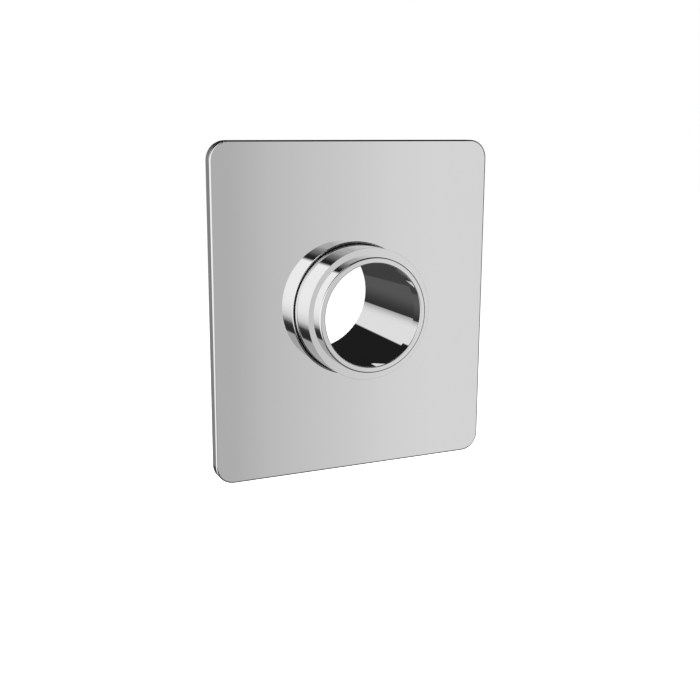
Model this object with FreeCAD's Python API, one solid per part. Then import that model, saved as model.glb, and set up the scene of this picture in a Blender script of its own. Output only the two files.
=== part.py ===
import FreeCAD, Part
import math
import os

# Trim set of a wall-mounted thermostatic shower valve, in millimetres: a chromed
# cover plate, the stepped sleeve that slides through it, and what holds both.
# +Z is up and +Y points into the wall. The origin is on the sleeve's axis, in the
# plane of the finished wall, so every visible face has a negative y.

# Cover plate
plate_width = 152.0
plate_height = 170.0
plate_thickness = 6.2        # from the wall to the front face
plate_corner = 9.5           # corner radius in the front view
plate_edge = 0.9             # rounding between the front face and the sides
skin_thickness = 2.0         # wall behind the front face
rim_width = 8.0              # solid border that carries the gasket
rim_lip = 2.0                # outer wall of the gasket's rebate
rim_setback = 0.3            # gap between the rim and the wall
gasket_thickness = 2.2

# Stepped sleeve
sleeve_radius = 33.35        # large stage, which passes through the plate
sleeve_wall = 2.35
sleeve_rear = 46.0           # rear end, behind the wall plane
shoulder_front = 23.9        # step between the two stages, in front of the wall
shoulder_edge = 0.25
spigot_step = 4.25           # the small stage, which the knob covers, is this much smaller
spigot_front = 28.2          # front face of the sleeve
spigot_edge = 0.7
mouth_lip = 3.0              # wall of the small stage, around the mouth
mouth_edge = 0.3             # bevel at the mouth

# Passage of the sleeve through the plate
hole_gap = 0.45
hole_edge = 1.1              # rounding where the plate dips to the sleeve

# Wiper seal, pinched between the plate and the guide collar
seal_thickness = 3.0
seal_body = 2.8              # radial width of the seal's thick part
seal_lip = 0.6               # thickness of the lip that wipes the sleeve
seal_reach = 1.5             # from the sleeve to the thick part
boss_wall = 3.0              # wall of the plate's ring around the seal
boss_setback = 0.7           # bosses end this far in front of the wall plane

# Guide collar
collar_gap = 0.5             # around the sleeve
collar_wall = 3.5
collar_flange = 3.0
collar_length = 16.7         # tube behind the flange
friction_section = 2.5       # thickness of the O-ring that holds the sleeve
friction_sides = 12          # flats around the O-ring's section
friction_place = 4.7         # middle of the O-ring, behind the flange
glide_width = 3.8
glide_thickness = 1.8
glide_place = 11.7           # middle of the glide ring, behind the flange
glide_slit = 2.0
running_gap = 0.08           # between the glide ring and the sleeve
wiping_gap = 0.1             # between a rubber piece and the sleeve
seat_gap = 0.1               # between a piece and the seat that it is laid in

# Collar screws
collar_screw_circle = 46.0   # radius of the circle of screws
collar_screw_radius = 1.2
collar_head_radius = 2.8
collar_head_height = 2.2
collar_lug = 4.5

# Studs behind the plate
stud_radius = 2.5
stud_core = 2.1
stud_pin = 2.0               # pressed into the boss
stud_flange_radius = 4.0
stud_flange = 1.0
stud_end = 30.0
stud_pitch = 4.0
stud_ridges = 6
stud_boss = 4.5
pin_depth = 3.0

# Mounting frame
frame_width = 126.0
frame_height = 136.0
frame_corner = 12.0
frame_front = 8.0            # behind the wall plane
frame_thickness = 3.0
frame_opening = 52.0         # radius
frame_skirt_wall = 2.5
frame_skirt = 2.0
tower_radius = 7.5
tower_depth = 6.0
tower_hole = 3.2
clip_radius = 6.0
clip_thickness = 0.6
clip_pocket = 1.6
clip_hole = 2.65
clip_slit = 0.8
clip_slit_reach = 4.6
clip_fingers = 6
frame_seal_width = 5.0
frame_seal_thickness = 2.5
frame_seal_margin = 2.0      # from the seal to the towers and the slots

# Screws into the concealed box
box_screw_z = 30.0
box_screw_radius = 2.0
box_head_radius = 4.0
box_head_height = 2.5
box_screw_length = 23.0
box_neck_relief = 0.3        # the neck under the head is thinner than the thread
box_neck_margin = 0.5        # the neck reaches this far behind the frame
slot_length = 7.0
slot_radius = 2.3
washer_radius = 5.0
washer_thickness = 1.0

# Snap ring that stops the sleeve from being pulled out
stop_place = 41.0            # front face of the ring, behind the wall plane
stop_width = 1.6
stop_height = 2.5            # how far it stands out of the sleeve
stop_seat = 1.2              # how deep it sits in the sleeve
stop_opening = 8.0

# Planes worked out from the sizes above
plate_front = -plate_thickness
skin_back = plate_front + skin_thickness
seal_back = skin_back + seal_thickness
boss_back = -boss_setback
flange_back = boss_back + collar_flange
collar_back = flange_back + collar_length
sleeve_bore = sleeve_radius - sleeve_wall
spigot_radius = sleeve_radius - spigot_step
mouth_radius = spigot_radius - mouth_lip
hole_radius = sleeve_radius + hole_gap
seal_outer = sleeve_radius + seal_reach + seal_body + seat_gap
boss_outer = seal_outer + boss_wall
frame_back = frame_front + frame_thickness
tower_back = frame_back + tower_depth
frame_border = frame_skirt_wall + frame_seal_width + frame_seal_margin
stud_x = frame_width / 2 - frame_border - tower_radius
stud_z = frame_height / 2 - frame_border - tower_radius
box_screw_x = frame_width / 2 - frame_border - slot_length / 2
into_wall = FreeCAD.Vector(0, 1, 0)


def disc(radius, start, end, x=0.0, z=0.0):
    """Cylinder along Y from start to end."""
    return Part.makeCylinder(radius, end - start, FreeCAD.Vector(x, start, z), into_wall)


def ring(inner, outer, start, end, x=0.0, z=0.0):
    """Flat ring along Y."""
    return disc(outer, start, end, x, z).cut(disc(inner, start - 1, end + 1, x, z))


def slab(width, height, start, end, x=0.0, z=0.0):
    """Box centred on (x, z), from start to end along Y."""
    corner = FreeCAD.Vector(x - width / 2, start, z - height / 2)
    return Part.makeBox(width, end - start, height, corner)


def rounded_slab(width, height, corner, start, end):
    """Slab with rounded corners in the front view."""
    body = slab(width, height, start, end)
    along = [e for e in body.Edges if abs(e.BoundBox.YLength - (end - start)) < 1e-6]
    return body.makeFillet(corner, along)


def turned(profile):
    """Solid turned about the Y axis from (radius, y) points."""
    points = [FreeCAD.Vector(radius, y, 0) for radius, y in profile]
    wire = Part.makePolygon(points + [points[0]])
    return Part.Face(wire).revolve(FreeCAD.Vector(0, 0, 0), into_wall, 360)


def circle_edges(body, radius, y):
    """The body's circular edges of this radius in the plane at y."""
    circles = [e for e in body.Edges if isinstance(e.Curve, Part.Circle)]
    circles = [e for e in circles if abs(e.Curve.Radius - radius) < 1e-4]
    return [e for e in circles if abs(e.Curve.Center.y - y) < 1e-4]


def round_circle(body, radius, y, size):
    """Round the circular edge of this radius in the plane at y."""
    return body.makeFillet(size, circle_edges(body, radius, y))


def corners(x, z):
    """The four points at plus and minus x and z."""
    return [(x, z), (-x, z), (-x, -z), (x, -z)]


def around(count, radius, start_angle):
    """Points on a circle about the sleeve's axis."""
    angles = [math.radians(start_angle + 360.0 * i / count) for i in range(count)]
    return [(radius * math.cos(a), radius * math.sin(a)) for a in angles]


def screw(x, z, seat, head_radius, head_height, shank_radius, shank_end,
          neck_radius=None, neck_end=None):
    """Pan-head screw whose head stands on the plane y = seat; a neck is optional."""
    away = 1 if shank_end < seat else -1
    head_top = seat + away * head_height
    low, high = sorted((seat, head_top))
    body = disc(head_radius, low, high, x, z)
    body = body.makeChamfer(head_height * 0.3, circle_edges(body, head_radius, head_top))
    shank_start = seat
    if neck_radius is not None:
        body = body.fuse(disc(neck_radius, seat, neck_end, x, z))
        shank_start = neck_end
    shank_low, shank_high = sorted((shank_start, shank_end))
    body = body.fuse(disc(shank_radius, shank_low, shank_high, x, z))
    recess_depth = head_height * 0.6
    recess_low, recess_high = sorted((head_top + away, head_top - away * recess_depth))
    arm = head_radius * 1.1
    slot = head_radius * 0.25
    body = body.cut(slab(arm, slot, recess_low, recess_high, x, z))
    return body.cut(slab(slot, arm, recess_low, recess_high, x, z))


collar_screw_points = around(4, collar_screw_circle, 45)
stud_points = corners(stud_x, stud_z)
box_screw_points = corners(box_screw_x, box_screw_z)


def cover_plate():
    """Hollow-backed casting: rounded front, gasket rebate, seal ring, bosses, ribs."""
    body = rounded_slab(plate_width, plate_height, plate_corner, plate_front, -rim_setback)
    front_edges = [e for e in body.Edges if abs(e.BoundBox.YMax - plate_front) < 1e-6]
    body = body.makeFillet(plate_edge, front_edges)
    body = body.cut(rounded_slab(plate_width - 2 * rim_lip, plate_height - 2 * rim_lip,
                                 plate_corner - rim_lip, -gasket_thickness, 1))
    body = body.cut(rounded_slab(plate_width - 2 * rim_width, plate_height - 2 * rim_width,
                                 plate_corner - rim_lip, skin_back, 1))
    additions = [disc(boss_outer, skin_back, boss_back)]
    rib_width = 1.6
    rib_back = (skin_back + boss_back) / 2
    for x, z in stud_points:
        additions.append(disc(stud_boss, skin_back, boss_back, x, z))
        side = 1 if x > 0 else -1
        rib_length = plate_width / 2 - rim_width - stud_x + 1
        additions.append(slab(rib_length, rib_width, skin_back, rib_back,
                              x + side * rib_length / 2, z))
    for x, z in collar_screw_points:
        additions.append(disc(collar_lug - 1, skin_back, boss_back, x, z))
    for side in (-1, 1):
        reach = plate_height / 2 - rim_width + 1
        length = reach - boss_outer + 1
        additions.append(slab(rib_width, length, skin_back, rib_back, 0,
                              side * (reach - length / 2)))
        reach = plate_width / 2 - rim_width + 1
        length = reach - boss_outer + 1
        additions.append(slab(length, rib_width, skin_back, rib_back,
                              side * (reach - length / 2), 0))
    for piece in additions:
        body = body.fuse(piece)
    body = body.cut(disc(seal_outer, skin_back, 1))
    body = body.cut(disc(hole_radius, plate_front - 1, 1))
    for x, z in stud_points:
        body = body.cut(disc(stud_pin, boss_back - pin_depth, 1, x, z))
    for x, z in collar_screw_points:
        body = body.cut(disc(collar_screw_radius, skin_back + 0.5, 1, x, z))
    body = body.removeSplitter()
    return round_circle(body, hole_radius, plate_front, hole_edge)


def plate_gasket():
    """Closed-cell foam frame in the rim's rebate; its back face is the wall plane."""
    outer_gap = rim_lip + seat_gap
    inner_gap = rim_width - seat_gap
    corner = plate_corner - rim_lip
    body = rounded_slab(plate_width - 2 * outer_gap, plate_height - 2 * outer_gap,
                        corner, -gasket_thickness, 0)
    return body.cut(rounded_slab(plate_width - 2 * inner_gap, plate_height - 2 * inner_gap,
                                 corner, -gasket_thickness - 1, 1))


def wiper_seal():
    """Rubber ring with a thin lip that wipes the sleeve just behind the plate's skin."""
    thick_inner = sleeve_radius + seal_reach
    thick_outer = seal_outer - seat_gap
    tip = sleeve_radius + wiping_gap
    return turned([(tip, skin_back), (thick_outer, skin_back), (thick_outer, seal_back),
                   (thick_inner, seal_back), (thick_inner, skin_back + 2 * seal_lip),
                   (tip, skin_back + seal_lip)])


def guide_collar():
    """Flanged tube screwed behind the plate; it pinches the seal and guides the sleeve."""
    inner = sleeve_radius + collar_gap
    outer = inner + collar_wall
    body = disc(boss_outer, boss_back, flange_back)
    body = body.fuse(disc(seal_outer - seat_gap, seal_back, boss_back))
    body = body.fuse(disc(outer, flange_back, collar_back))
    for x, z in collar_screw_points:
        body = body.fuse(disc(collar_lug, boss_back, flange_back, x, z))
        arm_length = collar_screw_circle - outer
        arm = slab(arm_length, 2 * collar_lug, boss_back, flange_back,
                   outer + arm_length / 2, 0)
        arm.rotate(FreeCAD.Vector(0, 0, 0), into_wall, -math.degrees(math.atan2(z, x)))
        body = body.fuse(arm)
    body = body.cut(disc(inner, seal_back - 1, collar_back + 1))
    body = body.cut(disc(sleeve_radius + seal_reach, seal_back - 1, boss_back))
    friction_outer = sleeve_radius + wiping_gap + friction_section + seat_gap
    friction_middle = flange_back + friction_place
    half = friction_section / 2 + seat_gap
    body = body.cut(disc(friction_outer, friction_middle - half, friction_middle + half))
    glide_outer = sleeve_radius + running_gap + glide_thickness + seat_gap
    glide_middle = flange_back + glide_place
    half = glide_width / 2 + seat_gap
    body = body.cut(disc(glide_outer, glide_middle - half, glide_middle + half))
    for x, z in collar_screw_points:
        body = body.cut(disc(collar_screw_radius + 0.3, boss_back - 1, flange_back + 1, x, z))
    return body.removeSplitter()


def friction_ring():
    """O-ring in the collar's front groove; it holds the sleeve where it is set."""
    radius = friction_section / 2
    middle = sleeve_radius + wiping_gap + radius
    depth = flange_back + friction_place
    angles = [2 * math.pi * i / friction_sides for i in range(friction_sides)]
    return turned([(middle + radius * math.cos(a), depth + radius * math.sin(a))
                   for a in angles])


def glide_ring():
    """Slit acetal ring in the collar's rear groove; it carries the sliding sleeve."""
    inner = sleeve_radius + running_gap
    middle = flange_back + glide_place
    start = middle - glide_width / 2
    end = middle + glide_width / 2
    body = ring(inner, inner + glide_thickness, start, end)
    slit = slab(glide_slit, 3 * glide_thickness, start - 1, end + 1, 0,
                inner + glide_thickness / 2)
    return body.cut(slit)


def collar_screws():
    """Four self-tapping screws that hold the guide collar on the plate's bosses."""
    tip = skin_back + 0.8
    return [screw(x, z, flange_back, collar_head_radius, collar_head_height,
                  collar_screw_radius, tip) for x, z in collar_screw_points]


def plate_stud(x, z):
    """Ridged stud pressed into a boss behind the plate; the frame's clip grips it."""
    flange_end = boss_back + stud_flange
    profile = [(0, boss_back - pin_depth), (stud_pin, boss_back - pin_depth),
               (stud_pin, boss_back), (stud_flange_radius, boss_back),
               (stud_flange_radius, flange_end), (stud_core, flange_end)]
    first = stud_end - stud_radius - stud_ridges * stud_pitch
    for i in range(stud_ridges):
        start = first + i * stud_pitch
        profile += [(stud_core, start), (stud_radius, start + stud_pitch * 0.2),
                    (stud_radius, start + stud_pitch * 0.4)]
    profile += [(stud_core, stud_end - stud_radius), (stud_core / 2, stud_end), (0, stud_end)]
    body = turned(profile)
    body.translate(FreeCAD.Vector(x, 0, z))
    return body


def mounting_frame():
    """Moulded frame screwed to the concealed box, with a clip tower for each stud."""
    body = rounded_slab(frame_width, frame_height, frame_corner, frame_front, frame_back)
    skirt = rounded_slab(frame_width, frame_height, frame_corner,
                         frame_back, frame_back + frame_skirt)
    inside = rounded_slab(frame_width - 2 * frame_skirt_wall,
                          frame_height - 2 * frame_skirt_wall,
                          frame_corner - frame_skirt_wall,
                          frame_back - 1, frame_back + frame_skirt + 1)
    body = body.fuse(skirt.cut(inside))
    for x, z in stud_points:
        body = body.fuse(disc(tower_radius, frame_back, tower_back, x, z))
    body = body.cut(disc(frame_opening, frame_front - 1, tower_back + 1))
    for x, z in stud_points:
        body = body.cut(disc(tower_hole, frame_front - 1, tower_back + 1, x, z))
        body = body.cut(disc(clip_radius, tower_back - clip_pocket, tower_back + 1, x, z))
    straight = slot_length - 2 * slot_radius
    for x, z in box_screw_points:
        slot = slab(straight, 2 * slot_radius, frame_front - 1, frame_back + 1, x, z)
        for end in (-straight / 2, straight / 2):
            slot = slot.fuse(disc(slot_radius, frame_front - 1, frame_back + 1, x + end, z))
        body = body.cut(slot)
    return body.removeSplitter()


def frame_seal():
    """Rubber frame that seals the mounting frame against the box."""
    outer_gap = frame_skirt_wall + seat_gap
    inner_gap = outer_gap + frame_seal_width
    end = frame_back + frame_seal_thickness
    body = rounded_slab(frame_width - 2 * outer_gap, frame_height - 2 * outer_gap,
                        frame_corner - outer_gap, frame_back, end)
    inner_corner = max(frame_corner - inner_gap, 1.0)
    return body.cut(rounded_slab(frame_width - 2 * inner_gap, frame_height - 2 * inner_gap,
                                 inner_corner, frame_back - 1, end + 1))


def stud_clip(x, z):
    """Spring-steel clip with fingers that bite on the stud's ridges."""
    start = tower_back - clip_pocket
    body = ring(clip_hole, clip_radius, start, start + clip_thickness, x, z)
    for i in range(clip_fingers):
        cut = slab(clip_slit_reach, clip_slit, start - 1, start + 2,
                   x + clip_slit_reach / 2, z)
        cut.rotate(FreeCAD.Vector(x, 0, z), into_wall, 360.0 * i / clip_fingers)
        body = body.cut(cut)
    return body


def box_screws():
    """Four screws through the frame into the concealed box; the thread starts behind it."""
    seat = frame_front - washer_thickness
    neck_end = frame_front + frame_thickness + box_neck_margin
    return [screw(x, z, seat, box_head_radius, box_head_height,
                  box_screw_radius, seat + box_screw_length,
                  box_screw_radius - box_neck_relief, neck_end) for x, z in box_screw_points]


def screw_washers():
    """Washers that bridge the frame's slots."""
    return [ring(box_screw_radius + 0.3, washer_radius, frame_front - washer_thickness,
                 frame_front, x, z) for x, z in box_screw_points]


def sleeve():
    """Chromed brass sleeve: large stage, step, small stage with a narrower mouth."""
    groove_end = stop_place + stop_width
    seat = sleeve_radius - stop_seat
    step_bore = -shoulder_front + sleeve_wall
    body = turned([
        (mouth_radius, -spigot_front + mouth_edge), (mouth_radius + mouth_edge, -spigot_front),
        (spigot_radius, -spigot_front),
        (spigot_radius, -shoulder_front), (sleeve_radius, -shoulder_front),
        (sleeve_radius, stop_place), (seat, stop_place), (seat, groove_end),
        (sleeve_radius, groove_end), (sleeve_radius, sleeve_rear - 1),
        (sleeve_radius - 1, sleeve_rear), (sleeve_bore, sleeve_rear),
        (sleeve_bore, step_bore), (mouth_radius, step_bore)])
    body = round_circle(body, spigot_radius, -spigot_front, spigot_edge)
    return round_circle(body, sleeve_radius, -shoulder_front, shoulder_edge)


def stop_ring():
    """Snap ring in the sleeve's rear groove; it meets the collar when pulled out."""
    inner = sleeve_radius - stop_seat
    outer = sleeve_radius + stop_height
    body = ring(inner, outer, stop_place, stop_place + stop_width)
    opening = slab(stop_opening, 3 * (outer - inner), stop_place - 1,
                   stop_place + stop_width + 1, 0, -(inner + outer) / 2)
    return body.cut(opening)


def save(name, shape):
    """Write one node, from a solid or a list of separate solids."""
    solids = shape if isinstance(shape, list) else [shape]
    found = [solid for piece in solids for solid in piece.Solids]
    for solid in found:
        assert solid.isValid(), name
    node = found[0] if len(found) == 1 else Part.makeCompound(found)
    node.exportStep("parts/" + name + ".step")
    print(name, len(found), round(sum(solid.Volume for solid in found), 1))


os.makedirs("parts", exist_ok=True)
save("cover_plate", cover_plate())
save("plate_gasket", plate_gasket())
save("wiper_seal", wiper_seal())
save("guide_collar", guide_collar())
save("friction_ring", friction_ring())
save("glide_ring", glide_ring())
save("collar_screws", collar_screws())
for number, (x, z) in enumerate(stud_points, 1):
    save("plate_stud_%d" % number, plate_stud(x, z))
save("mounting_frame", mounting_frame())
save("frame_seal", frame_seal())
for number, (x, z) in enumerate(stud_points, 1):
    save("stud_clip_%d" % number, stud_clip(x, z))
save("box_screws", box_screws())
save("screw_washers", screw_washers())
save("sleeve", sleeve())
save("stop_ring", stop_ring())
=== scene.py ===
import math
from collections import namedtuple

import bmesh
import bpy
from mathutils import Matrix, Vector


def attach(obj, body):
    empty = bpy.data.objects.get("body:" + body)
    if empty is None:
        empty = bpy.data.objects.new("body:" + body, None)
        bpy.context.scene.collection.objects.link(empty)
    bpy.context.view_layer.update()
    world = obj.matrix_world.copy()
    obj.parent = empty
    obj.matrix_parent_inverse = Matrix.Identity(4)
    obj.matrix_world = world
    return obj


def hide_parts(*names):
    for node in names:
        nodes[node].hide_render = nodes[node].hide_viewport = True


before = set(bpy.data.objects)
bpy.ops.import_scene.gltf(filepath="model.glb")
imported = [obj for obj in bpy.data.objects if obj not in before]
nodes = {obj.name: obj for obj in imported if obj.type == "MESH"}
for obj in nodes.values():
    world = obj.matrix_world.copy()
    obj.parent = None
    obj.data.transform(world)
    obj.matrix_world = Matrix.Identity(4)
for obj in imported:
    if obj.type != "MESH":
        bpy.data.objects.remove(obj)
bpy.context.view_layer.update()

# ---------------------------------------------------------------------------
# Camera. The photograph looks at the trim from the left and from a little above.
# Its angle, distance and lens come from a perspective fit of the plate's four
# edges and of the sleeve's circles.
TURN_LEFT = 24.9
LOOK_DOWN = 12.44
LEAN = 0.31
DISTANCE = 0.5327
AIM_BELOW_AXIS = 0.0225
LENS = 52.7
FILM_WIDTH = 36
NEAREST_SEEN = 0.01

turn, tilt, lean = (math.radians(a) for a in (TURN_LEFT, LOOK_DOWN, LEAN))
forward = Vector((math.sin(turn) * math.cos(tilt), math.cos(turn) * math.cos(tilt),
                  -math.sin(tilt)))
level_right = Vector((math.cos(turn), -math.sin(turn), 0))
level_up = level_right.cross(forward)
right = level_right * math.cos(lean) + level_up * math.sin(lean)
up = level_up * math.cos(lean) - level_right * math.sin(lean)

camera_data = bpy.data.cameras.new("camera")
camera_data.lens = LENS
camera_data.sensor_width = FILM_WIDTH
camera_data.clip_start = NEAREST_SEEN
camera = bpy.data.objects.new("camera", camera_data)
bpy.context.scene.collection.objects.link(camera)
placed = Matrix((right, up, -forward)).transposed().to_4x4()
placed.translation = -forward * DISTANCE - up * AIM_BELOW_AXIS
camera.matrix_world = placed
bpy.context.scene.camera = camera
bpy.context.scene.view_settings.view_transform = "Standard"


# ---------------------------------------------------------------------------
# Studio. Polished chrome shows only what stands around it: a large soft box to the
# left, a graded card in front to the right, a strip light at the back left, and dull
# walls between them. The backdrop and the floor are plain and pale.
def add(tree, kind, inputs=None, **settings):
    """Add a shader node; inputs maps a socket's name or number to a value or an output."""
    made = tree.nodes.new(kind)
    for key, value in settings.items():
        setattr(made, key, value)
    for key, value in (inputs or {}).items():
        if isinstance(value, bpy.types.NodeSocket):
            tree.links.new(value, made.inputs[key])
        else:
            made.inputs[key].default_value = value
    return made


def maths(tree, operation, *values):
    """Add a Math node and return its output."""
    return add(tree, "ShaderNodeMath", dict(enumerate(values)), operation=operation).outputs[0]


world = bpy.data.worlds.new("studio")
bpy.context.scene.world = world
world.use_nodes = True
tree = world.node_tree
tree.nodes.clear()
direction = add(tree, "ShaderNodeTexCoord").outputs["Generated"]
parts = add(tree, "ShaderNodeSeparateXYZ", {0: direction}).outputs
# Degrees to the right of straight in front of the plate, and above the horizon.
azimuth = maths(tree, "DEGREES", maths(tree, "ARCTAN2", parts["X"],
                                       maths(tree, "MULTIPLY", parts["Y"], -1)))
height = maths(tree, "DEGREES", maths(tree, "ARCSINE", parts["Z"]))


def beyond(angle, edge, blur, inward):
    """1 on the inner side of a panel's edge and 0 outside it, with a soft change."""
    return add(tree, "ShaderNodeMapRange",
               {"Value": angle, "From Min": edge - inward * blur / 2,
                "From Max": edge + inward * blur / 2},
               interpolation_type="SMOOTHSTEP").outputs[0]


NO_EDGE = 180


def panel(light, label, edges, blurs, level, slants=(0.0, 0.0)):
    """Hang a panel in front of the light so far; edges are left, right, low and high.

    slants: how far the side edges lean with the height, and the low and high edges with
    the azimuth, in degrees for each degree."""
    sideways = maths(tree, "MULTIPLY_ADD", height, slants[0], azimuth)
    upwards = maths(tree, "MULTIPLY_ADD", azimuth, slants[1], height)
    mask = None
    for angle, edge, blur, inward in zip((sideways, sideways, upwards, upwards), edges, blurs,
                                         (1, -1, 1, -1)):
        if abs(edge) >= NO_EDGE:
            continue
        side = beyond(angle, edge, blur, inward)
        mask = side if mask is None else maths(tree, "MULTIPLY", mask, side)
    hung = add(tree, "ShaderNodeMix", {"Factor": mask, 2: light, 3: level},
               data_type="FLOAT", label=label)
    return hung.outputs[0]


def graded(angle, levels):
    """Light that changes along an angle; levels lists (degrees, light)."""
    first, last = levels[0][0], levels[-1][0]
    along = add(tree, "ShaderNodeMapRange", {"Value": angle, "From Min": first,
                                             "From Max": last})
    ramp = add(tree, "ShaderNodeValToRGB", {0: along.outputs[0]})
    stops = ramp.color_ramp.elements
    while len(stops) < len(levels):
        stops.new(0.5)
    for stop, (degrees, level) in zip(stops, levels):
        stop.position = (degrees - first) / (last - first)
        stop.color = (level, level, level, 1)
    return ramp.outputs[0]


card_light = graded(azimuth, ((-12, 0.38), (4, 0.395), (10, 0.415), (15, 0.435),
                              (18.2, 0.447), (20.5, 0.534), (23, 0.587), (25, 0.628),
                              (27, 0.678), (29.5, 0.708), (46, 0.69)))
BOX_SLANT = -0.45
above_slot = maths(tree, "MULTIPLY_ADD", azimuth, BOX_SLANT, height)
box_light = graded(above_slot, ((-13.5, 0.034), (-12, 0.045), (-10.8, 0.07), (-9.9, 0.19),
                                (-9.2, 0.27), (-7.9, 0.37), (-6.5, 0.53), (-5.2, 0.65),
                                (-3.5, 0.71), (-2.1, 0.77), (0.9, 0.83), (2.3, 0.87),
                                (5.3, 0.91), (12, 0.945), (60, 0.97)))
shade_light = graded(azimuth, ((-4, 0.016), (-1, 0.02), (0.5, 0.032), (2, 0.068), (3.5, 0.12),
                               (5, 0.155), (7, 0.2), (8, 0.24), (9.5, 0.31), (11, 0.365),
                               (14, 0.43), (17, 0.52)))
strip_light = graded(height, ((0.5, 0.4), (1.6, 0.42), (3, 0.49), (4.5, 0.6), (6, 0.69),
                              (7.5, 0.74), (9, 0.77), (12, 0.78), (40, 0.78)))

# Each panel: left, right, low and high edges in degrees (180 for none), the blur of
# each edge, its light and its slants. Later panels hang in front of earlier ones.
REAR_WALL = 0.012
PANELS = (
    ("rear floor", (180, 180, 180, 1), (1, 1, 1, 4), 0.036),
    ("rear floor glow", (180, 180, 180, -8.5), (1, 1, 1, 17), 0.096),
    ("rear floor corner, right", (100, 180, 180, -18), (1, 1, 1, 2), 0.051),
    ("rear floor corner, left", (180, -163, 180, -18), (1, 1.5, 1, 2), 0.051),
    ("front wall", (-100, 62, -30, 30), (30, 16, 8, 12), 0.14),
    ("right wall", (58, 150, -50, 30), (8, 30, 10, 10), 0.015),
    ("front floor", (-10, 16, -33, -12), (4, 6, 4, 8), 0.42),
    ("card, left part", (-12, 20, -31, 21.9), (2, 8, 5, 1.5), card_light),
    ("card, right part", (13, 42, -27, 22), (4, 10, 6, 12), card_light),
    ("rear strip", (-161.8, -120, 1.1, 40), (1.2, 10, 1, 8), strip_light),
    ("wall beside the strip", (180, -162, -19.7, 14), (1, 0.8, 2, 6), 0.22),
    ("shade beside the soft box", (-8, 18, 21.9, 33), (1, 6, 1.5, 5), shade_light),
    ("slot under the soft box", (180, 13.0, -70, -13), (1, 3, 20, 2), 0.028,
     (-0.93, BOX_SLANT)),
    ("soft box", (-128, -4.6, -13.8, 60), (20, 3.5, 1, 20), box_light, (0.0, BOX_SLANT)),
)
light = REAR_WALL
for hanging in PANELS:
    light = panel(light, *hanging)
BACKDROP = 1.0
seen = add(tree, "ShaderNodeLightPath").outputs["Is Camera Ray"]
light = add(tree, "ShaderNodeMix", {"Factor": seen, 2: light, 3: BACKDROP},
            data_type="FLOAT").outputs[0]
glow = add(tree, "ShaderNodeBackground", {"Color": light})
add(tree, "ShaderNodeOutputWorld", {"Surface": glow.outputs[0]})


Finish = namedtuple("Finish", "material tree shader")


def new_finish(name):
    """Start a node material; returns it with its tree and the sockets of its shader."""
    made = bpy.data.materials.new(name)
    made.use_nodes = True
    made.node_tree.nodes.clear()
    shader = made.node_tree.nodes.new("ShaderNodeBsdfPrincipled")
    add(made.node_tree, "ShaderNodeOutputMaterial", {"Surface": shader.outputs[0]})
    return Finish(made, made.node_tree, shader.inputs)


FLOOR_DROP = 0.45
FLOOR_HALF = 6.0
floor_mesh = bpy.data.meshes.new("floor")
floor_mesh.from_pydata([(x, y, -FLOOR_DROP) for x, y in
                        ((-FLOOR_HALF, -FLOOR_HALF), (FLOOR_HALF, -FLOOR_HALF),
                         (FLOOR_HALF, FLOOR_HALF), (-FLOOR_HALF, FLOOR_HALF))],
                       [], [(0, 1, 2, 3)])
floor = bpy.data.objects.new("floor", floor_mesh)
bpy.context.scene.collection.objects.link(floor)
floor.visible_glossy = False
floor_paint = new_finish("pale floor")
floor_paint.shader["Base Color"].default_value = (0.9, 0.9, 0.9, 1)
floor_paint.shader["Roughness"].default_value = 0.9
floor_paint.shader["Emission Color"].default_value = (1, 1, 1, 1)
floor_paint.shader["Emission Strength"].default_value = 0.9
floor_mesh.materials.append(floor_paint.material)

# Two soft lamps light the dull pieces; the chrome doesn't show them.
LAMP_WIDTH, LAMP_POWER = 1.2, 22.0
for label, place_at in (("front lamp", (-0.5, -1.2, 1.3)), ("rear lamp", (0.6, 1.2, 1.3))):
    lamp_data = bpy.data.lights.new(label, "AREA")
    lamp_data.shape = "DISK"
    lamp_data.size = LAMP_WIDTH
    lamp_data.energy = LAMP_POWER
    lamp = bpy.data.objects.new(label, lamp_data)
    lamp.location = place_at
    lamp.rotation_mode = "QUATERNION"
    lamp.rotation_quaternion = (-Vector(place_at)).to_track_quat("-Z", "Y")
    lamp.visible_glossy = False
    bpy.context.scene.collection.objects.link(lamp)


# ---------------------------------------------------------------------------
# Mounting frame: a light grey glass-filled moulding, screwed to the concealed box in
# the wall. Its surface is spark-eroded matt, with faint flow marks from the mould.
def new_effect(name, takes, gives):
    """Start a shader node group; returns it, what it takes in and what it puts out."""
    group = bpy.data.node_groups.new(name, "ShaderNodeTree")
    for label, value in takes.items():
        if isinstance(value, float):
            kind = "NodeSocketFloat"
        else:
            kind = "NodeSocketColor" if len(value) == 4 else "NodeSocketVector"
        socket = group.interface.new_socket(label, in_out="INPUT", socket_type=kind)
        socket.default_value = value
    for label in gives:
        kind = "NodeSocketColor" if label == "Colour" else "NodeSocketFloat"
        group.interface.new_socket(label, in_out="OUTPUT", socket_type=kind)
    entry = group.nodes.new("NodeGroupInput")
    leave = group.nodes.new("NodeGroupOutput")
    return group, entry.outputs, leave.inputs


def noise(tree, place, scale, detail=2.0, rough=0.5):
    """A noise between 0 and 1 at a place in metres."""
    return add(tree, "ShaderNodeTexNoise", {"Vector": place, "Scale": scale, "Detail": detail,
                                            "Roughness": rough}).outputs["Fac"]


def spread(tree, mask, low, high, from_low=0.3, from_high=0.7):
    """Stretch a mask to run between two values."""
    return add(tree, "ShaderNodeMapRange", {"Value": mask, "From Min": from_low,
                                            "From Max": from_high, "To Min": low,
                                            "To Max": high}).outputs[0]


def shade(tree, colour, factor):
    """Multiply a colour by a factor that changes over the surface."""
    return add(tree, "ShaderNodeMix", {0: 1.0, 6: colour, 7: factor},
               data_type="RGBA", blend_type="MULTIPLY").outputs[2]


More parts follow.
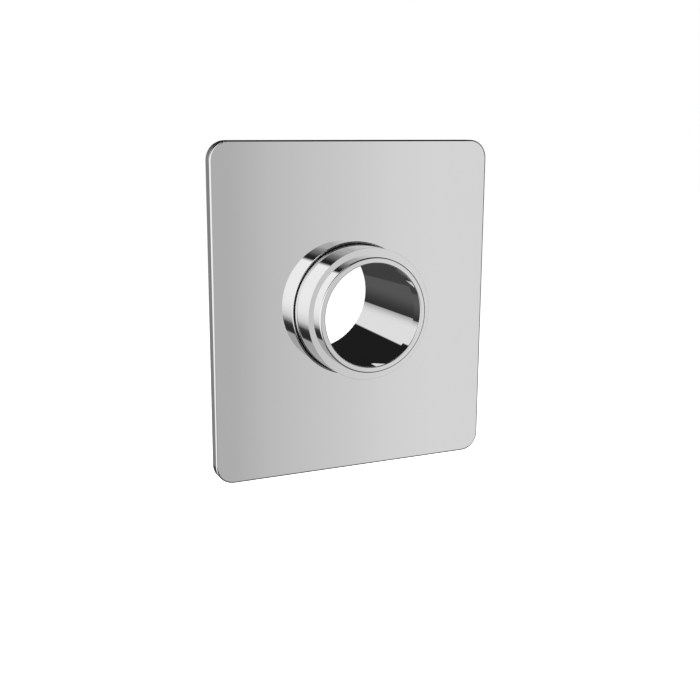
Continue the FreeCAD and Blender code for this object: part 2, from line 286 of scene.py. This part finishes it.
FLOW_SCALE, FLOW_SHARE, GRAIN_SHARE = 45.0, 0.7, 0.3
FLOW_MATT = 0.25
moulded, takes, gives = new_effect(
    "moulded surface",
    {"Colour": (0.5, 0.5, 0.5, 1), "Grain size": 0.0006, "Shading": 0.1, "Matt": 0.5},
    ("Colour", "Roughness", "Height"))
place = add(moulded, "ShaderNodeTexCoord").outputs["Object"]
grain = noise(moulded, place, maths(moulded, "DIVIDE", 1.0, takes["Grain size"]), 3.0, 0.6)
flow = noise(moulded, place, FLOW_SCALE, 3.0, 0.65)
darker = maths(moulded, "SUBTRACT", 1.0, takes["Shading"])
tone = spread(moulded, maths(moulded, "ADD", maths(moulded, "MULTIPLY", flow, FLOW_SHARE),
                             maths(moulded, "MULTIPLY", grain, GRAIN_SHARE)), darker, 1.0)
moulded.links.new(shade(moulded, takes["Colour"], tone), gives["Colour"])
flow_about_mean = maths(moulded, "SUBTRACT", flow, 0.5)
moulded.links.new(maths(moulded, "ADD", takes["Matt"],
                        maths(moulded, "MULTIPLY", flow_about_mean, FLOW_MATT)),
                  gives["Roughness"])
moulded.links.new(grain, gives["Height"])


def finish_with(effect, finish, settings, bump=None):
    """Place an effect in a finish and lead what it puts out to the shader.

    bump: the strength and the depth in metres of the effect's height, if it has one."""
    placed = add(finish.tree, "ShaderNodeGroup", settings, node_tree=effect)
    for socket, label in (("Base Color", "Colour"), ("Roughness", "Roughness")):
        finish.tree.links.new(placed.outputs[label], finish.shader[socket])
    if bump:
        strength, distance = bump
        relief = add(finish.tree, "ShaderNodeBump",
                     {"Strength": strength, "Distance": distance,
                      "Height": placed.outputs["Height"]})
        finish.tree.links.new(relief.outputs[0], finish.shader["Normal"])
    return placed


def wear(finish, *names):
    """Put a finish on carried CAD nodes."""
    for name in names:
        mesh = nodes[name].data
        mesh.materials.clear()
        mesh.materials.append(finish.material)


frame_grey = new_finish("grey glass-filled nylon")
finish_with(moulded, frame_grey, {"Colour": (0.46, 0.465, 0.475, 1), "Grain size": 0.0005,
                                  "Shading": 0.16, "Matt": 0.52}, (0.35, 0.00012))
frame_grey.shader["Specular IOR Level"].default_value = 0.45
wear(frame_grey, "mounting_frame")


# ---------------------------------------------------------------------------
# Frame seal: a black rubber ring of square section, laid in the frame's rear groove.
# It is moulded in one piece, and its skin is dull with a faint pale bloom.
rubber, takes, gives = new_effect(
    "rubber skin",
    {"Colour": (0.03, 0.03, 0.03, 1), "Bloom": 0.5, "Pore size": 0.0004},
    ("Colour", "Roughness", "Height"))
CLOUD_SCALE = 130.0
PALE_BLOOM = (0.11, 0.11, 0.115, 1)
place = add(rubber, "ShaderNodeTexCoord").outputs["Object"]
pores = noise(rubber, place, maths(rubber, "DIVIDE", 1.0, takes["Pore size"]), 2.0, 0.7)
clouds = noise(rubber, place, CLOUD_SCALE, 4.0, 0.7)
bloom = maths(rubber, "MULTIPLY", spread(rubber, clouds, 0.0, 1.0, 0.45, 0.75), takes["Bloom"])
skin = add(rubber, "ShaderNodeMix", {0: bloom, 6: takes["Colour"], 7: PALE_BLOOM},
           data_type="RGBA").outputs[2]
rubber.links.new(skin, gives["Colour"])
rubber.links.new(spread(rubber, clouds, 0.5, 0.8), gives["Roughness"])
rubber.links.new(pores, gives["Height"])

seal_rubber = new_finish("dull black seal rubber")
finish_with(rubber, seal_rubber, {"Colour": (0.022, 0.022, 0.023, 1), "Bloom": 0.45,
                                  "Pore size": 0.0005}, (0.4, 0.0001))
wear(seal_rubber, "frame_seal")


# ---------------------------------------------------------------------------
# Stud clips: thin spring steel stampings that grip the plate's studs. They are
# blackened slightly by the hardening, with fine rolling lines.
rolled, takes, gives = new_effect(
    "rolled sheet",
    {"Colour": (0.6, 0.6, 0.6, 1), "Line size": 0.0002, "Shading": 0.2, "Matt": 0.3},
    ("Colour", "Roughness", "Height"))
STRETCH_ALONG, SHEET_STAIN_SCALE, STAIN_MATT = 0.06, 220.0, (-0.08, 0.12)
place = add(rolled, "ShaderNodeTexCoord").outputs["Object"]
along_sheet = add(rolled, "ShaderNodeVectorMath", {0: place, 1: (1.0, 1.0, STRETCH_ALONG)},
                  operation="MULTIPLY").outputs[0]
lines = noise(rolled, along_sheet, maths(rolled, "DIVIDE", 1.0, takes["Line size"]), 2.0)
stain = noise(rolled, place, SHEET_STAIN_SCALE, 4.0, 0.6)
tone = spread(rolled, maths(rolled, "ADD", maths(rolled, "MULTIPLY", lines, 0.5),
                            maths(rolled, "MULTIPLY", stain, 0.5)),
              maths(rolled, "SUBTRACT", 1.0, takes["Shading"]), 1.0)
rolled.links.new(shade(rolled, takes["Colour"], tone), gives["Colour"])
rolled.links.new(maths(rolled, "ADD", takes["Matt"], spread(rolled, stain, *STAIN_MATT)),
                 gives["Roughness"])
rolled.links.new(lines, gives["Height"])

spring_steel = new_finish("hardened spring steel")
spring_steel.shader["Metallic"].default_value = 1.0
finish_with(rolled, spring_steel, {"Colour": (0.52, 0.51, 0.5, 1), "Line size": 0.00012,
                                   "Shading": 0.3, "Matt": 0.3}, (0.15, 0.00003))
wear(spring_steel, "stud_clip_1", "stud_clip_2", "stud_clip_3", "stud_clip_4")


# ---------------------------------------------------------------------------
# Box screws and washers: zinc-plated steel, cold-headed, with rolled threads. The four
# screws hold the frame to the box, and each stands on a flat washer.
turned, takes, gives = new_effect(
    "turned surface",
    {"Colour": (0.6, 0.6, 0.6, 1), "Axis": (0.0, 0.0, 0.0), "Line size": 0.0001,
     "Shading": 0.2, "Matt": 0.25},
    ("Colour", "Roughness", "Height"))
STAIN_SCALE, LINE_SHARE, STAIN_SHARE = 320.0, 0.45, 0.55
place = add(turned, "ShaderNodeTexCoord").outputs["Object"]
# Like pieces stand mirrored about the middle, so one axis serves for all of them.
folded = add(turned, "ShaderNodeVectorMath", {0: place}, operation="ABSOLUTE").outputs[0]
from_axis = add(turned, "ShaderNodeVectorMath", {0: folded, 1: takes["Axis"]},
                operation="SUBTRACT").outputs[0]
flat = add(turned, "ShaderNodeVectorMath", {0: from_axis, 1: (1.0, 0.0, 1.0)},
           operation="MULTIPLY").outputs[0]
reach = add(turned, "ShaderNodeVectorMath", {0: flat}, operation="LENGTH").outputs["Value"]
depth = add(turned, "ShaderNodeSeparateXYZ", {0: place}).outputs["Y"]
on_lathe = add(turned, "ShaderNodeCombineXYZ", {"X": reach, "Y": depth}).outputs[0]
lines = noise(turned, on_lathe, maths(turned, "DIVIDE", 1.0, takes["Line size"]), 1.0)
stain = noise(turned, place, STAIN_SCALE, 4.0, 0.6)
tone = spread(turned, maths(turned, "ADD", maths(turned, "MULTIPLY", lines, LINE_SHARE),
                            maths(turned, "MULTIPLY", stain, STAIN_SHARE)),
              maths(turned, "SUBTRACT", 1.0, takes["Shading"]), 1.0)
turned.links.new(shade(turned, takes["Colour"], tone), gives["Colour"])
turned.links.new(maths(turned, "ADD", takes["Matt"], spread(turned, stain, *STAIN_MATT)),
                 gives["Roughness"])
turned.links.new(lines, gives["Height"])

BOX_SCREW_AXIS = (0.05, 0.0, 0.03)
zinc = new_finish("zinc-plated steel")
zinc.shader["Metallic"].default_value = 1.0
finish_with(turned, zinc, {"Colour": (0.74, 0.75, 0.77, 1), "Axis": BOX_SCREW_AXIS,
                           "Line size": 0.0003, "Shading": 0.14, "Matt": 0.26},
            (0.12, 0.00003))
wear(zinc, "box_screws", "screw_washers")

MM = 0.001
HEAD_RADIUS, HEAD_TOP, HEAD_BACK, HEAD_ROUND = 4.0, 4.5, 7.0, 1.5
NECK_RADIUS, NECK_END, NECK_OVERLAP, SCREW_END = 1.7, 11.6, 0.1, 30.0
THREAD_RADIUS, THREAD_DEPTH, THREAD_PITCH, THREAD_LEAD = 2.0, 0.42, 0.7, 1.2
THREAD_FLATNESS, LEVELS_PER_TURN = 1.25, 8
RECESS_ARM, RECESS_HALF, RECESS_DEPTH = 1.9, 0.5, 1.5
RECESS_ABOVE, RECESS_FLARE, RECESS_TAPER = 0.2, 1.1, 0.45
HEAD_SIDES, THREAD_SIDES = 48, 28
SHARP_FROM = math.radians(28)


def rounded(centre_radius, centre_y, size, start, stop, steps=9):
    """Points of a rounding in a turned profile; angles in degrees from +radius to +Y."""
    return [(centre_radius + size * math.cos(math.radians(start + (stop - start) * n / steps)),
             centre_y + size * math.sin(math.radians(start + (stop - start) * n / steps)))
            for n in range(steps + 1)]


def stack(work, levels, at_x, at_z):
    """Skin a stack of rings; each level is its y and the radius at every side."""
    rings = [[work.verts.new((at_x + radius * MM * math.cos(2 * math.pi * n / len(radii)),
                              y * MM,
                              at_z + radius * MM * math.sin(2 * math.pi * n / len(radii))))
              for n, radius in enumerate(radii)] for y, radii in levels]
    for near, far in zip(rings, rings[1:]):
        for n in range(len(near)):
            work.faces.new((near[n - 1], near[n], far[n], far[n - 1])).smooth = True
    work.faces.new(rings[0])
    work.faces.new(rings[-1])


def finish_mesh(work, name):
    """Turn worked faces into a piece with true normals and crisp edges."""
    bmesh.ops.recalc_face_normals(work, faces=work.faces)
    for edge in work.edges:
        edge.smooth = edge.calc_face_angle(0.0) < SHARP_FROM
    mesh = bpy.data.meshes.new(name)
    work.to_mesh(mesh)
    work.free()
    piece = bpy.data.objects.new(name, mesh)
    bpy.context.scene.collection.objects.link(piece)
    return piece


head_profile = (rounded(HEAD_RADIUS - HEAD_ROUND, HEAD_TOP + HEAD_ROUND, HEAD_ROUND, -90, 0, 10)
                + [(HEAD_RADIUS, HEAD_BACK), (NECK_RADIUS, HEAD_BACK),
                   (NECK_RADIUS, NECK_END + NECK_OVERLAP)])
head_levels = [(y, [radius] * HEAD_SIDES) for radius, y in head_profile]

quarter = [(RECESS_ARM, RECESS_HALF), (RECESS_HALF, RECESS_HALF), (RECESS_HALF, RECESS_ARM)]
cross_outline = [(u * c - v * q, u * q + v * c) for c, q in ((1, 0), (0, 1), (-1, 0), (0, -1))
                 for u, v in quarter]
recess_ends = ((HEAD_TOP - RECESS_ABOVE, RECESS_FLARE), (HEAD_TOP + RECESS_DEPTH, RECESS_TAPER))

thread_levels = []
level_step = THREAD_PITCH / LEVELS_PER_TURN
for rung in range(int((SCREW_END - NECK_END) / level_step) + 1):
    y = NECK_END + rung * level_step
    fade = max(0.0, min(1.0, (y - NECK_END) / THREAD_LEAD, (SCREW_END - y) / THREAD_LEAD))
    radii = []
    for n in range(THREAD_SIDES):
        turned_by = ((y - NECK_END) / THREAD_PITCH - n / THREAD_SIDES) % 1
        crest = min(1.0, THREAD_FLATNESS * (1 - abs(2 * turned_by - 1)))
        radii.append(THREAD_RADIUS - THREAD_DEPTH * (1 - crest * fade))
    thread_levels.append((y, radii))

heads, cutter, threads = bmesh.new(), bmesh.new(), bmesh.new()
for at_x in (-BOX_SCREW_AXIS[0], BOX_SCREW_AXIS[0]):
    for at_z in (-BOX_SCREW_AXIS[2], BOX_SCREW_AXIS[2]):
        stack(heads, head_levels, at_x, at_z)
        stack(threads, thread_levels, at_x, at_z)
        top, bottom = ([cutter.verts.new((at_x + u * MM * part, y * MM, at_z + v * MM * part))
                        for u, v in cross_outline] for y, part in recess_ends)
        for n in range(len(top)):
            cutter.faces.new((top[n - 1], top[n], bottom[n], bottom[n - 1]))
        cutter.faces.new(top)
        cutter.faces.new(bottom)
screw_heads = finish_mesh(heads, "box_screw_heads")
recess_cutter = finish_mesh(cutter, "recess_cutter")
recess = screw_heads.modifiers.new("recess", "BOOLEAN")
recess.operation, recess.solver, recess.object = "DIFFERENCE", "EXACT", recess_cutter
bpy.context.view_layer.update()
cut_mesh = bpy.data.meshes.new_from_object(
    screw_heads.evaluated_get(bpy.context.evaluated_depsgraph_get()))
screw_heads.modifiers.clear()
screw_heads.data = cut_mesh
bpy.data.objects.remove(recess_cutter)
screw_threads = finish_mesh(threads, "box_screw_threads")
for piece in (screw_heads, screw_threads):
    piece.data.materials.clear()
    piece.data.materials.append(zinc.material)
    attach(piece, "frame")
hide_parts("box_screws")


# ---------------------------------------------------------------------------
# Cover plate: a zinc casting, ground, polished and chromed. The front is a mirror with
# the faintest haze; the hollow rear keeps the grey, grainy look of the casting.
CHROME = (0.93, 0.93, 0.935, 1)
CAST_GREY = (0.4, 0.4, 0.41, 1)
STREAK_SCALE, STREAK_STRETCH, PATCH_SCALE = 160.0, 0.25, 28.0
HOLLOW_HALF_WIDTH, HOLLOW_HALF_HEIGHT, HOLLOW_DEPTH, FACING_REAR = 0.0755, 0.0845, -0.0043, 0.5
polish, takes, gives = new_effect(
    "polish haze", {"Colour": CHROME, "Gloss": 0.012, "Haze": 0.01, "Tint": 0.01},
    ("Colour", "Roughness"))
place = add(polish, "ShaderNodeTexCoord").outputs["Object"]
wipes = add(polish, "ShaderNodeVectorMath", {0: place, 1: (1.0, 1.0, STREAK_STRETCH)},
            operation="MULTIPLY").outputs[0]
streaks = noise(polish, wipes, STREAK_SCALE, 4.0, 0.6)
patches = noise(polish, place, PATCH_SCALE, 3.0, 0.5)
haze = maths(polish, "MULTIPLY", spread(polish, maths(polish, "MULTIPLY", streaks, patches),
                                        0.0, 1.0, 0.15, 0.45), takes["Haze"])
polish.links.new(maths(polish, "ADD", takes["Gloss"], haze), gives["Roughness"])
dullest = maths(polish, "SUBTRACT", 1.0, takes["Tint"])
polish.links.new(shade(polish, takes["Colour"], spread(polish, patches, dullest, 1.0)),
                 gives["Colour"])

plate_chrome = new_finish("polished chrome on the cover plate")
tree, shader = plate_chrome.tree, plate_chrome.shader
shader["Metallic"].default_value = 1.0
mirror = finish_with(polish, plate_chrome, {"Colour": CHROME, "Gloss": 0.012, "Haze": 0.012,
                                            "Tint": 0.008}).outputs
cast = add(tree, "ShaderNodeGroup", {"Colour": CAST_GREY, "Grain size": 0.0009,
                                     "Shading": 0.3, "Matt": 0.42}, node_tree=moulded).outputs
facing = add(tree, "ShaderNodeSeparateXYZ",
             {0: add(tree, "ShaderNodeNewGeometry").outputs["Normal"]}).outputs["Y"]
at = add(tree, "ShaderNodeSeparateXYZ",
         {0: add(tree, "ShaderNodeTexCoord").outputs["Object"]}).outputs
in_width = maths(tree, "LESS_THAN", maths(tree, "ABSOLUTE", at["X"]), HOLLOW_HALF_WIDTH)
in_height = maths(tree, "LESS_THAN", maths(tree, "ABSOLUTE", at["Z"]), HOLLOW_HALF_HEIGHT)
in_hollow = maths(tree, "MULTIPLY", maths(tree, "MULTIPLY", in_width, in_height),
                  maths(tree, "GREATER_THAN", at["Y"], HOLLOW_DEPTH))
rear = maths(tree, "MAXIMUM", in_hollow, maths(tree, "GREATER_THAN", facing, FACING_REAR))
tree.links.new(add(tree, "ShaderNodeMix", {0: rear, 6: mirror["Colour"], 7: cast["Colour"]},
                   data_type="RGBA").outputs[2], shader["Base Color"])
tree.links.new(add(tree, "ShaderNodeMix", {0: rear, 2: mirror["Roughness"],
                                           3: cast["Roughness"]},
                   data_type="FLOAT").outputs[0], shader["Roughness"])
casting = add(tree, "ShaderNodeBump", {"Strength": 0.5, "Distance": 0.0002,
                                       "Height": maths(tree, "MULTIPLY", rear,
                                                       cast["Height"])})
tree.links.new(casting.outputs[0], shader["Normal"])
wear(plate_chrome, "cover_plate")


# ---------------------------------------------------------------------------
# Plate gasket: a ring of black closed-cell foam, stuck in the rebate around the
# plate's rear. Cut cells pit its face and it takes no gloss at all.
FOAM_BLACK = (0.13, 0.13, 0.135, 1)
CELL_SIZE, WOBBLE_SCALE, WOBBLE = 0.0011, 500.0, 0.0012
foam = new_finish("black closed-cell foam")
tree, shader = foam.tree, foam.shader
place = add(tree, "ShaderNodeTexCoord").outputs["Object"]
wobble = add(tree, "ShaderNodeTexNoise", {"Vector": place, "Scale": WOBBLE_SCALE})
uneven = add(tree, "ShaderNodeMix", {0: WOBBLE, 4: place, 5: wobble.outputs["Color"]},
             data_type="VECTOR").outputs[1]
cells = add(tree, "ShaderNodeTexVoronoi", {"Vector": uneven, "Scale": 1 / CELL_SIZE}).outputs[0]
cell_walls = spread(tree, cells, 0.0, 1.0, 0.1, 0.75)
# Colour: the pits of the cut cells are painted darker than their walls, which is painted shade
# in the pits; the same mask sinks them as bump height.
tree.links.new(shade(tree, FOAM_BLACK, spread(tree, cell_walls, 0.35, 1.0, 0.0, 1.0)),
               shader["Base Color"])
tree.links.new(spread(tree, cell_walls, 0.95, 0.8, 0.0, 1.0), shader["Roughness"])
tree.links.new(add(tree, "ShaderNodeBump", {"Strength": 0.8, "Distance": 0.0004,
                                            "Height": cell_walls}).outputs[0], shader["Normal"])
wear(foam, "plate_gasket")


# ---------------------------------------------------------------------------
# Wiper seal: a moulded black rubber ring between plate and collar, whose thin lip
# wipes the sleeve. It is greased, so it is glossier than the frame's seal.
lip_rubber = new_finish("greased lip rubber")
finish_with(rubber, lip_rubber, {"Colour": (0.018, 0.018, 0.019, 1), "Bloom": 0.12,
                                 "Pore size": 0.0003}, (0.2, 0.00006))
lip_rubber.shader["Coat Weight"].default_value = 0.35
lip_rubber.shader["Coat Roughness"].default_value = 0.25
wear(lip_rubber, "wiper_seal")


# ---------------------------------------------------------------------------
# Guide collar: a black acetal moulding, screwed behind the plate, that carries the
# sleeve. Its skin is satin, with the fine grain of the mould.
collar_black = new_finish("black moulded acetal")
finish_with(moulded, collar_black, {"Colour": (0.045, 0.045, 0.048, 1), "Grain size": 0.0004,
                                    "Shading": 0.25, "Matt": 0.4}, (0.25, 0.00008))
wear(collar_black, "guide_collar")


# ---------------------------------------------------------------------------
# Friction ring: a black rubber O-ring in the collar's groove, which holds the sleeve
# wherever it is pushed.
ring_rubber = new_finish("black O-ring rubber")
finish_with(rubber, ring_rubber, {"Colour": (0.02, 0.02, 0.02, 1), "Bloom": 0.2,
                                  "Pore size": 0.00025}, (0.2, 0.00004))
wear(ring_rubber, "friction_ring")


# ---------------------------------------------------------------------------
# Glide ring: a slit strip of white acetal, snapped into the collar, on which the
# sleeve runs. It is smooth and a little waxy.
glide_white = new_finish("white acetal")
finish_with(moulded, glide_white, {"Colour": (0.86, 0.855, 0.83, 1), "Grain size": 0.0008,
                                   "Shading": 0.06, "Matt": 0.34}, (0.12, 0.00005))
glide_white.shader["Subsurface Weight"].default_value = 0.1
glide_white.shader["Subsurface Radius"].default_value = (0.001, 0.001, 0.0008)
wear(glide_white, "glide_ring")


# ---------------------------------------------------------------------------
# Collar screws: four small steel screws with pan heads, through the collar's lugs
# into the plate's bosses.
COLLAR_SCREW_AXIS = (0.03253, 0.0, 0.03253)
screw_steel = new_finish("bright screw steel")
screw_steel.shader["Metallic"].default_value = 1.0
finish_with(turned, screw_steel, {"Colour": (0.66, 0.66, 0.67, 1), "Axis": COLLAR_SCREW_AXIS,
                                  "Line size": 0.00012, "Shading": 0.2, "Matt": 0.24},
            (0.1, 0.00002))
wear(screw_steel, "collar_screws")


# ---------------------------------------------------------------------------
# Plate studs: four turned brass pins with ridges, pressed into the plate's bosses.
# They push into the clips on the frame. The brass is bare and slightly dulled.
STUD_AXIS = (0.046, 0.0, 0.051)
brass = new_finish("bare turned brass")
brass.shader["Metallic"].default_value = 1.0
finish_with(turned, brass, {"Colour": (0.78, 0.58, 0.29, 1), "Axis": STUD_AXIS,
                            "Line size": 0.0001, "Shading": 0.3, "Matt": 0.24},
            (0.2, 0.00003))
wear(brass, "plate_stud_1", "plate_stud_2", "plate_stud_3", "plate_stud_4")


# ---------------------------------------------------------------------------
# Sleeve: a brass tube turned in two stages, polished and chromed inside and out. It
# slides through the plate, and the knob's skirt would cover its small stage.
SLEEVE_RADIUS, SPIGOT_RADIUS, MOUTH_RADIUS, BORE_RADIUS = 33.35, 29.1, 26.1, 31.0
GROOVE_RADIUS = 32.15
SHOULDER, FRONT, STEP_INSIDE, REAR = -23.9, -28.2, -21.55, 46.0
GROOVE_FROM, GROOVE_TO = 41.0, 42.6
SHOULDER_ROUND, SPIGOT_ROUND, MOUTH_ROUND, REAR_BEVEL = 0.08, 0.75, 0.5, 1.0
SLEEVE_SIDES = 288
GUARD, LONG_RUN = 0.02, 0.2


def guarded(profile):
    """Add a point near both ends of each long run, which keeps it true beside a rounding."""
    points = []
    for near, far in zip(profile, profile[1:] + profile[:1]):
        run = math.dist(near, far)
        points.append(near)
        if run > LONG_RUN:
            for part in (GUARD / run, 1 - GUARD / run):
                points.append(tuple(a + (b - a) * part for a, b in zip(near, far)))
    return points


def turn(name, profile, sides):
    """Turn a closed profile of (radius, y) points about the Y axis."""
    work = bmesh.new()
    rings = []
    for radius, y in guarded(profile):
        rings.append([work.verts.new((radius * MM * math.cos(2 * math.pi * n / sides), y * MM,
                                      radius * MM * math.sin(2 * math.pi * n / sides)))
                      for n in range(sides)])
    for near, far in zip(rings, rings[1:] + rings[:1]):
        for n in range(sides):
            work.faces.new((near[n - 1], near[n], far[n], far[n - 1])).smooth = True
    return finish_mesh(work, name)


sleeve_profile = (
    [(SLEEVE_RADIUS - REAR_BEVEL, REAR), (SLEEVE_RADIUS, REAR - REAR_BEVEL),
     (SLEEVE_RADIUS, GROOVE_TO), (GROOVE_RADIUS, GROOVE_TO),
     (GROOVE_RADIUS, GROOVE_FROM), (SLEEVE_RADIUS, GROOVE_FROM)]
    + rounded(SLEEVE_RADIUS - SHOULDER_ROUND, SHOULDER + SHOULDER_ROUND, SHOULDER_ROUND, 0, -90)
    + [(SPIGOT_RADIUS, SHOULDER)]
    + rounded(SPIGOT_RADIUS - SPIGOT_ROUND, FRONT + SPIGOT_ROUND, SPIGOT_ROUND, 0, -90, 12)
    + rounded(MOUTH_RADIUS + MOUTH_ROUND, FRONT + MOUTH_ROUND, MOUTH_ROUND, -90, -180, 6)
    + [(MOUTH_RADIUS, STEP_INSIDE), (BORE_RADIUS, STEP_INSIDE), (BORE_RADIUS, REAR)])
sleeve_tube = turn("sleeve_tube", sleeve_profile, SLEEVE_SIDES)

sleeve_chrome = new_finish("polished chrome on the sleeve")
sleeve_chrome.shader["Metallic"].default_value = 1.0
finish_with(polish, sleeve_chrome, {"Colour": CHROME, "Gloss": 0.01, "Haze": 0.01,
                                    "Tint": 0.006})
sleeve_tube.data.materials.append(sleeve_chrome.material)
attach(sleeve_tube, "sleeve")
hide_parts("sleeve")


# ---------------------------------------------------------------------------
# Edge of the plate's hole: the polished rounding where the plate dips to the sleeve. It
# is part of the casting; here it is a thin smooth skin over the coarser CAD faces.
HOLE_RADIUS, HOLE_ROUND, PLATE_FRONT = 33.72, 1.16, -6.212
SKIN_REACH, SKIN_DEPTH, SKIN_THICKNESS = 35.4, -3.6, 0.06
round_centre = (HOLE_RADIUS + HOLE_ROUND, PLATE_FRONT + HOLE_ROUND)
hole_profile = (
    [(SKIN_REACH, PLATE_FRONT)]
    + rounded(*round_centre, HOLE_ROUND, -90, -180, 12)
    + [(HOLE_RADIUS, SKIN_DEPTH), (HOLE_RADIUS + SKIN_THICKNESS, SKIN_DEPTH),
       (HOLE_RADIUS + SKIN_THICKNESS, round_centre[1])]
    + rounded(*round_centre, HOLE_ROUND - SKIN_THICKNESS, 180, 270, 12)
    + [(SKIN_REACH, PLATE_FRONT + SKIN_THICKNESS)])
hole_edge = turn("hole_edge", hole_profile, SLEEVE_SIDES)
hole_edge.data.materials.append(plate_chrome.material)
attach(hole_edge, "plate")


# ---------------------------------------------------------------------------
# Stop ring: a snap ring of round-edged spring steel in the sleeve's rear groove. It
# keeps the sleeve from being pulled out through the collar.
ring_steel = new_finish("spring steel ring")
ring_steel.shader["Metallic"].default_value = 1.0
finish_with(turned, ring_steel, {"Colour": (0.55, 0.55, 0.56, 1), "Axis": (0.0, 0.0, 0.0),
                                 "Line size": 0.0002, "Shading": 0.25, "Matt": 0.3},
            (0.12, 0.00003))
wear(ring_steel, "stop_ring")
